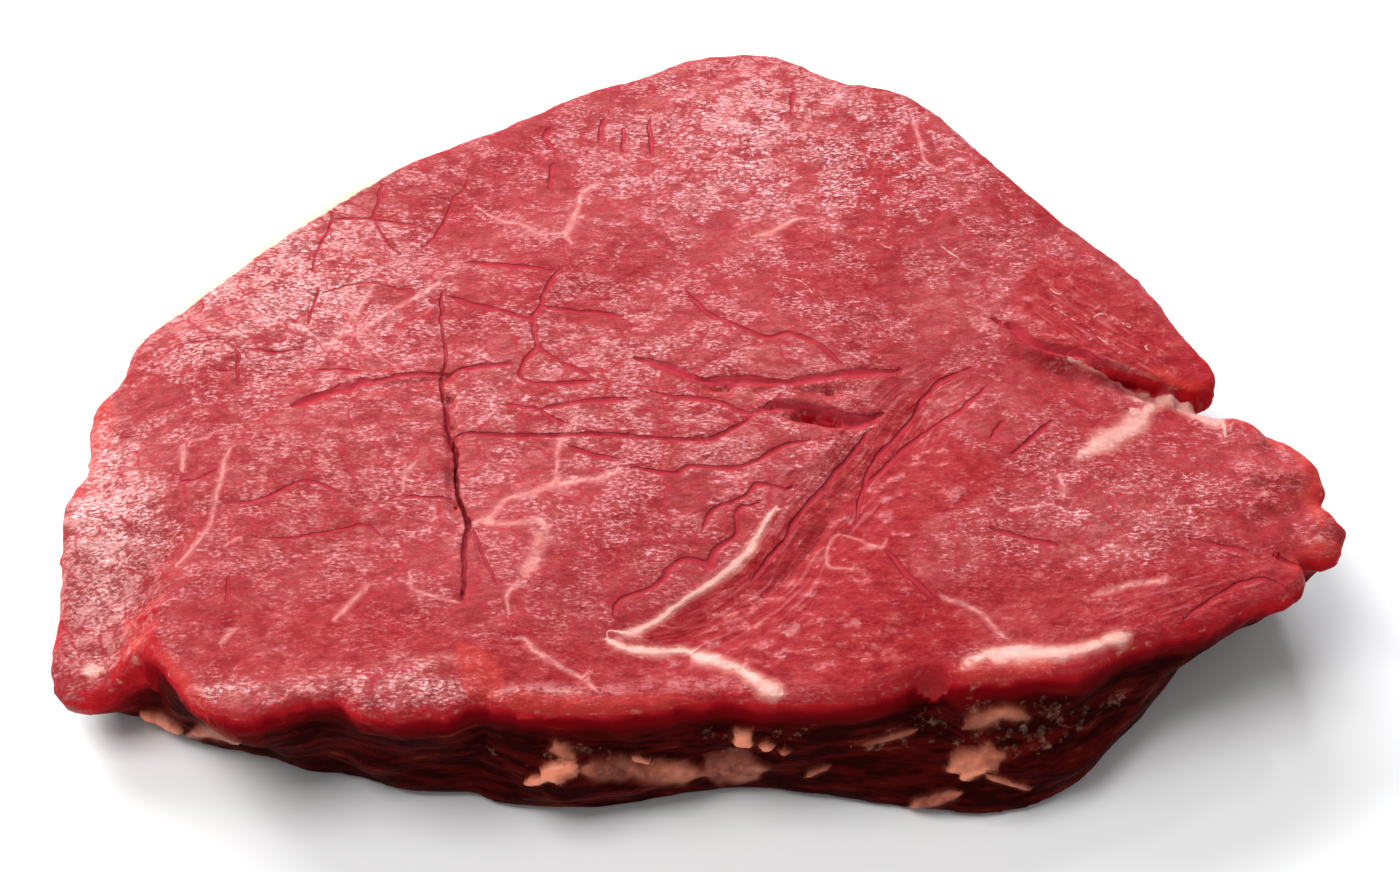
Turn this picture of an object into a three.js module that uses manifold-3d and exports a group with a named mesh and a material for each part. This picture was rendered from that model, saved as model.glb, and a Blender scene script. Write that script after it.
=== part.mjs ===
import * as THREE from 'three';
import { mergeVertices } from 'three/addons/utils/BufferGeometryUtils.js';
import Module from 'manifold-3d';

// A raw beef steak lying flat: one broad slice across several muscles, as cut.
// Millimetres, +Z up, +X along its length. The origin is under the middle of the slice.

// Driving dimensions
const THICKNESS = 25;        // cut face above the underside, over the thick middle
const RIM_POINTS = 168;      // points round the rim, halved twice towards the middle
const MEAN_RADIUS = 92;      // from the middle of the slice out to its rim, on average
const EDGE_DROP = 1.7;       // how far the rim lies below the cut face
const EDGE_REACH = 2.8;      // how far in from the rim the face starts to turn down
const EDGE_INSETS = [0.7, 1.8, 4.4]; // rings of points over the rounded edge, in from the rim
const FACE_PITCH = 4.2;      // spacing of the rings of points across the cut face
const WALL_LEVELS = [1, 0.84, 0.68, 0.5, 0.32, 0.16, 0.05]; // rings down the wall, as shares of its height
const FOOT_ROUND = 1.2;      // how far the underside's edge is set in from the foot of the wall
const CROWDING = 0.45;       // how much the points crowd into the short, crooked stretches of the rim

// The rim of the cut face, clockwise from above: x, y, and how far the foot of the
// wall is set in towards the middle. A negative value is a foot that sticks out.
const FLAP = [
  [-97, -68.5, 8], [-103.5, -67, 8.5], [-106.2, -54, 5], [-106.3, -43.5, 4], [-108.2, -33, 3],
];
const LEFT_END = [[-105.8, -26, 3], [-107, -12, 4], [-103.8, -6, 4], [-101.2, 5.5, 4]];
const FAT_CAP_SIDE = [[-88.2, 20.6, 3], [-78.6, 32, 3], [-62.7, 47, 3], [-38.2, 62, 4]];
const BACK = [
  [-21, 74.6, 4], [-12.5, 78.7, 4], [-1.8, 85.2, 5], [7, 87, 5], [16.2, 86.4, 5],
  [28.5, 78, 4], [42.5, 73.2, 4], [56.5, 53, 4],
];
const UPPER_LOBE = [[67.5, 37.8, 4], [78, 24.6, 4], [87.4, 4.6, 5], [92, -9.5, 6], [86, -12.4, 1]];
const LOWER_LOBE = [[96, -18, 4], [101, -22.4, 4], [104.6, -29.5, 5], [105, -37, 6]];
const RIGHT_UNDERCUT = [
  [107.3, -44.2, 10], [103.6, -48, 12], [98.2, -48.8, 10], [98.6, -53.4, 15], [89, -58.5, 10],
  [79, -63.5, 3.5],
];
const FAT_SEAM_EDGE = [
  [67, -67, -3], [59, -71.5, -6], [46.5, -72.5, -10.8], [40.5, -73, -11], [37.5, -70.5, -13.5],
];
const FRONT = [
  [28, -75.5, -5.9], [17.5, -77, -2], [2.5, -76.3, -1.8], [-14, -78.7, -2.5], [-31, -77.7, -3],
  [-33, -75.5, -4.5], [-35.5, -79, 0], [-51, -79.7, 2.2], [-56.5, -76, 0.5], [-68.5, -80, 7.2],
  [-75.5, -78, 8.8],
];
const FLAP_CLEFT = [[-82.5, -71, 2], [-88, -65, -1], [-91.5, -66.5, 2.5]];
const STATIONS = [
  ...FLAP, ...LEFT_END, ...FAT_CAP_SIDE, ...BACK, ...UPPER_LOBE, ...LOWER_LOBE,
  ...RIGHT_UNDERCUT, ...FAT_SEAM_EDGE, ...FRONT, ...FLAP_CLEFT,
];

// Where the muscles part on the cut face. A parting is a path of x, y points.
const LOBE_PARTING = [[50, 2], [61, -2], [72, -6.5], [88, -13.5]];
const FOLD_PARTING = [[46, -8], [35, -20], [23, -38], [15, -51], [-2, -62], [-16, -67]];
const FLAP_PARTING = [[-80, -36], [-85, -48], [-89.5, -59], [-87.5, -66]];

// How the cut face departs from a plane. Each form fades in between its from and its to.
const LEFT_SLOPE = { drop: 4.5, from: 84, to: 108 };                 // down to the left end
const FLAP_STEP = { drop: 6, from: -2, to: 3.5, fadeFrom: 34, fadeTo: 60 }; // down onto the thin flap
const FLAP_CORNER = { x: -99, y: -72, drop: 3.5, reach: 12 };
const LOBE_STEP = { crest: 0.8, crestReach: 9, hollow: 2.4, hollowReach: 11, from: 50, to: 66 };
const FOLD_DIP = { depth: 1.8, innerReach: 9, outerReach: 5, from: -14, to: 2, endFrom: -47, endTo: -38 };
const BROAD_SWELL = { height: 0.5, x: 17, y: 21, shift: 1.2 };
const FINE_SWELL = { height: 0.3, x: 9, y: 11 };
const SWELL_ROOM = 0.6;      // how far the face's mean lies below its highest swell

// Small unevenness of the wall, drawn out along its length: height, and radians for each mm
const WALL_WAVES = [
  { height: 0.45, along: 0.18, up: 0.38, shift: 0 },
  { height: 0.35, along: 0.42, up: -0.53, shift: 1 },
  { height: 0.3, along: 0.11, up: 0.77, shift: 0 },
];
const WALL_WAVES_AT_RIM = 0.25; // their share at the rim and the foot, beside the whole half way up
const FRONT_FROM = 50;       // lumps belong to the wall that lies farther to the front than this
const FRONT_TO = 62;

// Open cracks in the cut face: width and depth at the middle, and the path
const CRACKS = [
  { width: 2.2, depth: 6, path: [[-48, 14], [-43, -16], [-41, -34], [-38, -48], [-37, -60]] },
  { width: 1.8, depth: 4, path: [[-72, -17], [-57, -11], [-46, -9], [-31, -7]] },
  { width: 1.6, depth: 4, path: [[-43, -24], [-15, -24], [3, -25]] },
  { width: 2.4, depth: 4.5, path: [[-12, -6], [2, -11], [26, -11], [41, -7]] },
  { width: 3.4, depth: 5, path: [[10, -17], [18, -17], [26, -19], [31, -20]] },
  { width: 2.2, depth: 6, path: [...LOBE_PARTING, [100, -17]] },
  { width: 1.8, depth: 3, path: [[30, -25], [23, -38], [15, -51], [5, -60]] },
  { width: 1.4, depth: 3, path: [[16, -35], [8, -36], [6, -46], [-1, -51], [-8, -57]] },
];
const BLADE_CLEARANCE = 3;   // how far a crack's cutting blade stands above the face
const BLADE_LIFT = 1;        // how far its edge is out of the face at both ends
const BLADE_STEP = 4;        // spacing of the sections along a blade

// Lumps on the wall: x, z of the middle, half width, half height, how far it stands out
const FRONT_WALL_LUMPS = [
  { x: -20, z: 9, halfWidth: 6, halfHeight: 5, out: 3.2 },   // knob of fat
  { x: -6, z: 8, halfWidth: 13, halfHeight: 4, out: 1.8 },   // strip of fat
  { x: 12, z: 15, halfWidth: 9, halfHeight: 3, out: 1.4 },   // fat under the seam
  { x: 49, z: 10, halfWidth: 11, halfHeight: 5, out: 2.6 },  // fat on the foot that sticks out
  { x: 70, z: 12, halfWidth: 7, halfHeight: 6, out: 1.8 },   // dark lobe beside it
];

const smooth = THREE.MathUtils.smoothstep;
const bell = (distance, reach) => Math.exp(-((distance / reach) ** 2));

// The nearest point of a parting: its distance, and which side (x, y) lies on (+1 is left)
function nearestOnPath(path, x, y) {
  let best = { distance: Infinity, side: 1 };
  for (let i = 1; i < path.length; i += 1) {
    const [ax, ay] = path[i - 1];
    const [dx, dy] = [path[i][0] - ax, path[i][1] - ay];
    const share = ((x - ax) * dx + (y - ay) * dy) / (dx * dx + dy * dy);
    const along = THREE.MathUtils.clamp(share, 0, 1);
    const distance = Math.hypot(x - ax - along * dx, y - ay - along * dy);
    const side = Math.sign(dx * (y - ay) - dy * (x - ax)) || 1;
    if (distance < best.distance) best = { distance, side };
  }
  return best;
}

// Height of the cut face over the underside
function faceHeight(x, y) {
  const lobe = nearestOnPath(LOBE_PARTING, x, y);
  const fold = nearestOnPath(FOLD_PARTING, x, y);
  const flap = nearestOnPath(FLAP_PARTING, x, y);
  const leftSlope = LEFT_SLOPE.drop * smooth(-x, LEFT_SLOPE.from, LEFT_SLOPE.to);
  const flapSide = flap.side < 0 ? flap.distance : -flap.distance;
  const flapDrop = FLAP_STEP.drop * smooth(flapSide, FLAP_STEP.from, FLAP_STEP.to)
    * smooth(-y, FLAP_STEP.fadeFrom, FLAP_STEP.fadeTo);
  const fromCorner = Math.hypot(x - FLAP_CORNER.x, y - FLAP_CORNER.y);
  const cornerDrop = FLAP_CORNER.drop * bell(fromCorner, FLAP_CORNER.reach);
  const lobeShape = lobe.side > 0
    ? LOBE_STEP.crest * bell(lobe.distance, LOBE_STEP.crestReach)
    : -LOBE_STEP.hollow * bell(lobe.distance, LOBE_STEP.hollowReach);
  const lobeStep = lobeShape * smooth(x, LOBE_STEP.from, LOBE_STEP.to);
  const foldFade = smooth(x, FOLD_DIP.from, FOLD_DIP.to) * smooth(-x, FOLD_DIP.endFrom, FOLD_DIP.endTo);
  const foldReach = fold.side > 0 ? FOLD_DIP.innerReach : FOLD_DIP.outerReach;
  const foldDip = -FOLD_DIP.depth * foldFade * bell(fold.distance, foldReach);
  const broad = Math.sin(x / BROAD_SWELL.x + BROAD_SWELL.shift) * Math.cos(y / BROAD_SWELL.y);
  const fine = Math.sin(x / FINE_SWELL.x - y / FINE_SWELL.y);
  const swell = BROAD_SWELL.height * broad + FINE_SWELL.height * fine;
  return THICKNESS - SWELL_ROOM + swell + lobeStep + foldDip - leftSlope - flapDrop - cornerDrop;
}

function wallRelief(x, y, z) {
  return WALL_WAVES.reduce((out, { height, along, up, shift }) =>
    out + height * Math.sin(along * (x - y) + up * z + shift), 0);
}

function lumpsOut(x, y, z) {
  const onFront = smooth(-y, FRONT_FROM, FRONT_TO);
  return onFront * FRONT_WALL_LUMPS.reduce((out, lump) =>
    out + lump.out * bell((x - lump.x) / lump.halfWidth, 1) * bell((z - lump.z) / lump.halfHeight, 1), 0);
}

// Places round the rim, each with its outward direction and the inset of the foot below it
function rimPlaces() {
  const outline = new THREE.CatmullRomCurve3(
    STATIONS.map(([x, y, inset]) => new THREE.Vector3(x, y, inset)), true, 'centripetal');
  const places = [];
  for (let i = 0; i < RIM_POINTS; i += 1) {
    const even = i / RIM_POINTS;
    const t = THREE.MathUtils.lerp(outline.getUtoTmapping(even), even, CROWDING);
    const point = outline.getPoint(t);
    const along = outline.getTangent(t).setZ(0).normalize();
    places.push({ x: point.x, y: point.y, inset: point.z, out: { x: -along.y, y: along.x } });
  }
  return places;
}

// Rings of points from the middle of the cut face, over the rim, down the wall and
// back in under the slice
class Surface {
  constructor() {
    this.points = [];
    this.triangles = [];
  }

  ring(points) {
    const first = this.points.length;
    this.points.push(...points);
    return points.map((_, i) => first + i);
  }

  // Joins two rings of equal size, or a ring to one of half its size
  join(inner, outer, turned = false) {
    if (inner.length > outer.length) {
      this.join(outer, inner, !turned);
      return;
    }
    const add = (a, b, c) => this.triangles.push(...(turned ? [a, c, b] : [a, b, c]));
    const count = inner.length;
    const ratio = outer.length / count;
    for (let i = 0; i < count; i += 1) {
      const next = (i + 1) % count;
      const near = outer[i * ratio];
      const far = outer[(next * ratio) % outer.length];
      const middle = outer[i * ratio + ratio - 1];
      add(inner[i], inner[next], far);
      if (ratio === 2) add(inner[i], far, middle);
      add(inner[i], ratio === 2 ? middle : far, near);
    }
  }

  joinTip(tip, ring, turned) {
    ring.forEach((corner, i) => {
      const next = ring[(i + 1) % ring.length];
      this.triangles.push(...(turned ? [tip, corner, next] : [tip, next, corner]));
    });
  }

  geometry() {
    const geometry = new THREE.BufferGeometry();
    geometry.setAttribute('position', new THREE.Float32BufferAttribute(this.points.flat(), 3));
    geometry.setIndex(this.triangles);
    return geometry;
  }
}

// Every second point is left out once a ring is half as wide, and again at a quarter
function thinned(places, scale) {
  const step = scale > 0.5 ? 1 : scale > 0.25 ? 2 : 4;
  return places.filter((_, i) => i % step === 0);
}

function faceRings(places) {
  const scales = EDGE_INSETS.map((inset) => 1 - inset / MEAN_RADIUS);
  const innermost = FACE_PITCH / MEAN_RADIUS;
  let scale = scales.at(-1) - FACE_PITCH / MEAN_RADIUS;
  while (scale > innermost) {
    scales.push(scale);
    scale -= FACE_PITCH / MEAN_RADIUS;
  }
  return scales.reverse().map((size) => thinned(places, size).map(({ x, y }) => {
    const inset = (1 - size) * MEAN_RADIUS;
    const turnDown = EDGE_DROP * (1 - Math.sqrt(1 - Math.max(0, 1 - inset / EDGE_REACH) ** 2));
    return [x * size, y * size, faceHeight(x * size, y * size) - turnDown];
  }));
}

function wallRings(places) {
  return WALL_LEVELS.map((level) => places.map(({ x, y, inset, out }) => {
    const top = faceHeight(x, y) - EDGE_DROP;
    const z = top * level;
    const shrink = 1 - (inset * smooth(1 - level, 0, 1)) / Math.hypot(x, y);
    const loose = Math.sin(Math.PI * level) + WALL_WAVES_AT_RIM;
    const move = wallRelief(x, y, z) * loose + lumpsOut(x, y, z);
    return [x * shrink + out.x * move, y * shrink + out.y * move, z];
  }));
}

function undersideRings(places) {
  return [1, 0.5, 0.25].map((size) => places.filter((_, i) => i % Math.round(1 / size) === 0)
    .map(({ x, y, inset }) => {
      const shrink = size * (1 - (inset + FOOT_ROUND) / Math.hypot(x, y));
      return [x * shrink, y * shrink, 0];
    }));
}

function sliceGeometry() {
  const surface = new Surface();
  const places = rimPlaces();
  const rings = [...faceRings(places), ...wallRings(places), ...undersideRings(places)]
    .map((points) => surface.ring(points));
  for (let i = 1; i < rings.length; i += 1) surface.join(rings[i - 1], rings[i]);
  const [faceMiddle] = surface.ring([[0, 0, faceHeight(0, 0)]]);
  const [undersideMiddle] = surface.ring([[0, 0, 0]]);
  surface.joinTip(faceMiddle, rings[0], false);
  surface.joinTip(undersideMiddle, rings.at(-1), true);
  return surface.geometry();
}

// A crack is cut by a long blade of triangular section, whose edge rises out of the
// face at both ends
function bladeGeometry({ width, depth, path }) {
  const curve = new THREE.CatmullRomCurve3(path.map(([x, y]) => new THREE.Vector3(x, y, 0)));
  const sections = Math.ceil(curve.getLength() / BLADE_STEP);
  const spread = width / 2 / depth;
  const surface = new Surface();
  const rings = [];
  for (let i = 0; i <= sections; i += 1) {
    const point = curve.getPointAt(i / sections);
    const along = curve.getTangentAt(i / sections);
    const face = faceHeight(point.x, point.y);
    const deep = (depth + BLADE_LIFT) * Math.sin((Math.PI * i) / sections) ** 0.6 - BLADE_LIFT;
    const half = (deep + BLADE_CLEARANCE) * spread;
    const top = face + BLADE_CLEARANCE;
    rings.push(surface.ring([
      [point.x - along.y * half, point.y + along.x * half, top],
      [point.x + along.y * half, point.y - along.x * half, top],
      [point.x, point.y, face - deep],
    ]));
  }
  for (let i = 1; i < rings.length; i += 1) surface.join(rings[i - 1], rings[i]);
  surface.triangles.push(...[...rings[0]].reverse(), ...rings.at(-1));
  return surface.geometry();
}

const wasm = await Module();
wasm.setup();

function toSolid(geometry) {
  const merged = mergeVertices(geometry);
  return new wasm.Manifold(new wasm.Mesh({
    numProp: 3,
    vertProperties: merged.getAttribute('position').array,
    triVerts: Uint32Array.from(merged.index.array),
  }));
}

function toGeometry(solid) {
  const { vertProperties, triVerts } = solid.getMesh();
  const geometry = new THREE.BufferGeometry();
  geometry.setAttribute('position', new THREE.BufferAttribute(vertProperties, 3));
  geometry.setIndex(new THREE.BufferAttribute(triVerts, 1));
  geometry.computeVertexNormals();
  return geometry;
}

function steakGeometry() {
  const slice = toSolid(sliceGeometry());
  const cut = CRACKS.reduce((solid, crack) => solid.subtract(toSolid(bladeGeometry(crack))), slice);
  const geometry = toGeometry(cut);
  geometry.computeBoundingBox();
  const middle = geometry.boundingBox.getCenter(new THREE.Vector3());
  geometry.translate(-middle.x, -middle.y, -geometry.boundingBox.min.z);
  return geometry;
}

const rawBeef = new THREE.MeshStandardMaterial({ color: 0xb8494c, roughness: 0.42, metalness: 0 });
const steak = new THREE.Mesh(steakGeometry(), rawBeef);
steak.name = 'steak';

const group = new THREE.Group();
group.add(steak);

export default group;
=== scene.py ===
"""A raw beef steak lying flat on a pale floor: its flesh, fat edge, seams and cracks."""
import math

import bmesh
import bpy
import numpy as np
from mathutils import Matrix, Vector
from mathutils.kdtree import KDTree


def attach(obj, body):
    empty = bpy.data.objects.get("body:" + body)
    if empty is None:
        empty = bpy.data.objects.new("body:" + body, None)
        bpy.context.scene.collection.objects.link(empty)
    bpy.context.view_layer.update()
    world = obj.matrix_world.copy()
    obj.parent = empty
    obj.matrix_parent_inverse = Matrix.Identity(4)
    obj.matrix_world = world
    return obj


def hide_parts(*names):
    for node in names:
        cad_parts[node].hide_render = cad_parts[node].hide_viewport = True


MM = 0.001

# The camera, and the photograph's frame in pixels
PHOTO_SIZE = (1400, 872)
LENS = 50.0
SENSOR = 36.0
FOCAL_PIXELS = LENS / SENSOR * PHOTO_SIZE[0]
ELEVATION = math.radians(48)
DISTANCE = 340 * MM
TARGET = np.array([0.8, -20.0, 20.0]) * MM
VIEW_ALONG = np.array([0.0, math.cos(ELEVATION), -math.sin(ELEVATION)])
EYE = TARGET - VIEW_ALONG * DISTANCE
VIEW_UP = np.array([0.0, math.sin(ELEVATION), math.cos(ELEVATION)])
SQUEEZE = np.array([1, math.sin(ELEVATION)])  # the view's tilt shortens the cut face by this

# The mesh
VOXEL = 1.0 * MM
FIRST_ROUNDS = 3          # of smoothing, before the cracks are filled
LAST_ROUNDS = 4           # and after it
RELAX_STEP = 0.5          # share of the way to its neighbours that a vertex moves
RELAX_EXTRA = 0.03        # added to the opposite step, so that nothing shrinks
UNDERSIDE_TOP = 0.2 * MM  # a vertex below this is part of the underside
UNDERSIDE_SHARE = 0.3     # of the underside's triangles that are kept
SPLIT_ONCE = 1.2          # mm: faces this near to a crack are split
SPLIT_TWICE = 0.5         # mm: and again, this near
SPLIT_FAT = 3.0           # mm: so are faces this near to the fat on the front wall
FACE_DEPTH = 4 * MM       # how far below the face a crack can reach
WIDE = 1.8                # mm: strokes wider than this need no sign to be drawn with a clean edge

# The map of heights
GRID = 1.0 * MM           # its cells
MAP_EDGE = 8 * GRID       # free cells around the part
FILL_REACH = 3            # cells: cracks narrower than twice this are filled, then carved afresh
STEEP = 5 * MM            # a larger drop within WALL_REACH is a wall, not the cut face
WALL_REACH = 9            # cells
LIP_STEEP = 1.1 * MM      # so is a larger drop within LIP_REACH at the front
LIP_REACH = 2             # cells
INSET_RINGS = 12          # the largest inset, in cells
FRONT_RIM = -50 * MM      # the front wall is nearer the camera than this y
FLAP = (-76 * MM, -32 * MM)  # the thin flap lies to the left of this x and in front of this y
SHELF = (58 * MM, 4.5 * MM, -0.5)  # the face in front of the lobe: least x, its far edge's y there and slope
SHELF_DEPTH = 12 * MM
RIM_REACH = 12.0          # mm: the largest distance from the rim

# Stretches of the rim on the photograph: where each begins and is complete, in pixels
FAT_EDGE_DOWN = (356, 296)
FAT_EDGE_ACROSS = (450, 350)
RIGHT_TIP_ACROSS = (1130, 1200)
FLAP_TIP_ACROSS = (165, 135)

# Paths read off the photograph, in its pixels. First the cracks: full width and depth in mm, and how
# dark they are painted inside as shade, from 0 for a shallow gash to 1.
DEEP_CRACKS = {
    "left cross": (1.6, 0.4, 0.0, [(292, 406), (318, 397), (345, 388), (378, 380)]),
    "left cross end": (0.7, 0.3, 0.0, [(362, 384), (390, 378), (415, 375), (442, 372), (480, 366),
        (523, 363)]),
    "fissure top": (0.45, 0.35, 0.1, [(442, 290), (441, 319), (444, 338), (446, 360), (442, 376)]),
    "fissure middle": (0.5, 0.5, 0.25, [(442, 370), (441, 385), (445, 407), (448, 433), (456, 450)]),
    "fissure low": (0.75, 1.0, 0.8, [(452, 436), (456, 455), (456, 475), (458, 495), (467, 519), (468, 535)]),
    "fissure foot": (0.55, 0.8, 0.4, [(467, 519), (465, 548), (465, 573), (462, 603)]),
    "mid cross": (0.8, 0.35, 0.0, [(448, 436), (473, 434), (512, 435), (559, 435), (598, 433), (642, 436),
        (681, 438), (706, 439), (722, 434), (744, 423), (753, 416)]),
    "upper band": (1.4, 0.4, 0.0, [(634, 359), (662, 364), (687, 374), (709, 380), (751, 380), (783, 381),
        (815, 377), (846, 373), (902, 370)]),
    "open crevice": (2.6, 0.8, 0.0, [(764, 408), (782, 405), (800, 407), (820, 411), (840, 416), (862, 420),
        (882, 413)]),
    "lobe crack": (1.6, 1.0, 0.0, [(990, 318), (1012, 327), (1039, 345), (1075, 352), (1103, 364),
        (1130, 374), (1160, 386), (1200, 398)]),
    "flap recess": (3.2, 1.2, 1.0, [(146, 660), (156, 674), (165, 692), (172, 712)]),
    "tip notch": (0.8, 0.4, 0.0, [(1272, 553), (1283, 559), (1300, 566)]),
}
MEDIUM_CRACKS = [
    [(500, 404), (521, 407), (537, 409), (553, 419), (569, 423)],
    [(537, 409), (572, 404), (598, 401), (630, 399)],
    [(649, 391), (677, 396), (716, 401), (732, 407), (748, 415), (760, 411), (776, 401), (781, 391)],
    [(630, 466), (658, 471), (674, 473), (693, 466), (728, 468), (754, 463), (783, 446), (811, 439)],
    [(569, 446), (591, 453), (620, 458)],
    [(795, 484), (786, 489), (757, 485), (744, 497), (719, 506), (708, 516), (701, 533)],
    [(760, 503), (738, 509), (735, 535), (716, 548), (708, 567), (704, 562), (684, 559), (671, 567),
        (655, 586), (636, 594), (617, 602), (614, 615), (623, 624)],
    [(684, 287), (706, 312), (744, 328), (770, 336), (789, 333), (818, 344), (837, 360), (850, 367)],
    [(448, 295), (483, 306), (521, 316), (534, 319)],
    [(559, 270), (550, 284), (540, 306), (534, 322), (537, 344), (547, 354), (579, 370), (596, 381)],
    [(537, 344), (523, 364), (521, 376), (537, 384), (566, 384), (596, 381)],
    [(464, 262), (505, 265), (553, 271)],
    [(540, 306), (579, 311), (623, 316)],
    [(973, 366), (934, 385), (910, 420), (871, 466), (857, 518)],
    [(990, 382), (966, 406), (927, 431), (892, 459), (860, 490)],
    [(878, 417), (856, 449), (824, 487), (799, 516), (783, 541), (751, 580)],
    [(1053, 420), (1032, 438), (1011, 455)],
    [(1004, 420), (990, 438)],
    [(990, 529), (1018, 536), (1060, 545)],
    [(1187, 539), (1218, 545), (1250, 553)],
    [(1183, 620), (1218, 595), (1253, 580), (1285, 588)],
    [(885, 550), (906, 574), (931, 595)],
    [(550, 128), (545, 137), (553, 150)],
    [(604, 118), (598, 143)],
    [(649, 118), (652, 156)],
    [(623, 128), (623, 153)],
    [(553, 163), (550, 191)],
    [(792, 92), (791, 115)],
]
THIN_CRACKS = [
    [(325, 209), (332, 218), (316, 252), (311, 274)],
    [(332, 218), (373, 219), (427, 226)],
    [(373, 219), (383, 183)],
    [(373, 219), (387, 241), (403, 257)],
    [(469, 175), (462, 191), (453, 198), (440, 228), (421, 249)],
    [(312, 369), (363, 371)],
    [(177, 344), (204, 341), (223, 340), (238, 354), (237, 367), (238, 387)],
    [(206, 363), (220, 371), (234, 370)],
    [(245, 349), (277, 352), (303, 348)],
    [(322, 292), (351, 285), (376, 284), (399, 289), (421, 290)],
    [(308, 325), (314, 303), (319, 287)],
    [(403, 497), (453, 498)],
    [(223, 503), (261, 498), (287, 487), (308, 481), (344, 493)],
    [(172, 481), (198, 478), (217, 470)],
    [(242, 535), (287, 538), (319, 533), (344, 529), (367, 525), (383, 538)],
    [(118, 438), (140, 436)],
    [(473, 529), (496, 586)],
    [(230, 573), (228, 586), (225, 605)],
]
# Torn edges that stand up along a crack, and wet spots, painted pale as highlights where they catch the light
LIT_EDGES = [
    [(783, 277), (802, 281), (818, 297), (837, 303), (869, 300)],
    [(878, 242), (903, 256), (917, 267)],
    [(941, 245), (962, 263)],
    [(994, 189), (1008, 207)],
    [(1043, 302), (1067, 316), (1083, 326), (1102, 340), (1120, 354)],
    [(853, 436), (866, 430), (878, 417)],
    [(1044, 284), (1056, 294), (1068, 297)],
    [(1090, 320), (1104, 313), (1110, 322)],
    [(1120, 322), (1134, 330)],
    [(1143, 344), (1150, 354)],
    [(790, 494), (797, 486), (803, 490)],
]
# Marbling: full width in mm, and the path
VEINS = [
    (1.1, [(604, 182), (583, 193), (579, 207), (572, 220), (566, 233), (572, 244)]),
    (0.6, [(566, 233), (537, 234), (521, 225), (502, 220), (473, 204)]),
    (0.9, [(751, 238), (767, 234), (783, 226), (799, 220), (811, 218)]),
    (0.8, [(704, 188), (719, 191)]),
    (1.2, [(669, 284), (673, 280)]),
    (1.2, [(733, 292), (737, 288)]),
    (0.8, [(375, 284), (360, 306), (346, 322), (330, 344), (309, 333)]),
    (0.6, [(443, 281), (408, 301), (378, 320), (354, 335)]),
    (0.4, [(354, 338), (395, 367)]),
    (0.9, [(182, 442), (183, 455), (182, 471)]),
    (0.6, [(188, 442), (214, 436)]),
    (0.8, [(234, 442), (226, 458), (220, 484), (214, 503), (207, 529), (198, 541), (175, 565)]),
    (0.9, [(317, 463), (321, 459)]),
    (0.7, [(418, 460), (405, 474), (403, 493)]),
    (0.6, [(242, 536), (220, 548)]),
    (0.9, [(236, 627), (223, 640), (217, 647)]),
    (0.8, [(373, 583), (354, 599), (332, 621)]),
    (0.6, [(411, 570), (411, 588), (430, 595), (459, 603)]),
    (1.1, [(470, 524), (492, 516), (505, 500), (527, 495), (553, 485), (582, 479), (607, 473), (623, 465)]),
    (0.8, [(555, 484), (558, 446), (566, 430), (579, 417)]),
    (1.0, [(480, 524), (527, 524), (540, 521), (547, 532)]),
    (2.2, [(547, 526), (541, 540), (536, 555), (525, 578)]),
    (0.9, [(523, 578), (507, 595), (510, 615)]),
    (1.0, [(512, 640), (524, 640), (537, 653), (559, 666), (582, 678), (598, 693)]),
    (0.7, [(582, 678), (591, 669)]),
    (0.5, [(834, 532), (827, 554), (830, 567), (853, 570)]),
    (0.5, [(834, 532), (866, 543), (881, 549), (888, 538)]),
    (0.9, [(783, 637), (799, 624)]),
    (0.7, [(913, 116), (920, 140), (925, 160), (945, 172)]),
    (1.5, [(1055, 238), (1059, 238)]),
    (1.0, [(1017, 212), (1020, 212)]),
    (1.1, [(1057, 473), (1062, 485), (1064, 501)]),
    (0.6, [(1008, 511), (1032, 506), (1057, 503)]),
    (1.1, [(1092, 595), (1117, 588), (1131, 583), (1159, 581), (1169, 576)]),
    (0.8, [(938, 595), (962, 604), (983, 615), (997, 631), (1008, 641)]),
]
# Sheets of gristle between the muscles, and the soft fat on them: full width in mm, how solid, the path
SEAMS = [
    (1.2, 0.8, [(778, 506), (770, 516), (757, 538), (741, 560), (716, 580), (681, 602), (655, 621),
        (630, 632), (610, 631)]),
    (1.4, 0.85, [(604, 637), (623, 647), (655, 651), (684, 648), (706, 658)]),
    (1.9, 0.95, [(690, 651), (706, 658), (738, 669), (763, 685)]),
    (2.4, 1.0, [(752, 680), (772, 691), (784, 695)]),
    (3.4, 0.6, [(1120, 376), (1152, 388), (1186, 404), (1214, 424)]),
    (1.2, 0.6, [(1067, 358), (1102, 367), (1117, 368), (1150, 382), (1179, 396), (1200, 410), (1220, 418),
        (1225, 437)]),
    (2.0, 0.75, [(1155, 392), (1150, 408), (1134, 424)]),
    (3.2, 0.6, [(1146, 416), (1122, 432), (1098, 446), (1078, 457)]),
    (1.9, 1.0, [(962, 668), (982, 657), (1008, 650), (1046, 650)]),
    (2.8, 1.0, [(985, 656), (1010, 655), (1040, 654), (1075, 653)]),
    (1.9, 0.9, [(1060, 652), (1090, 647), (1110, 641), (1130, 634)]),
    (1.9, 0.9, [(1260, 493), (1268, 494)]),
    (1.9, 0.9, [(1315, 540), (1321, 541)]),
    (3.0, 0.8, [(80, 672), (98, 668)]),
]
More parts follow.
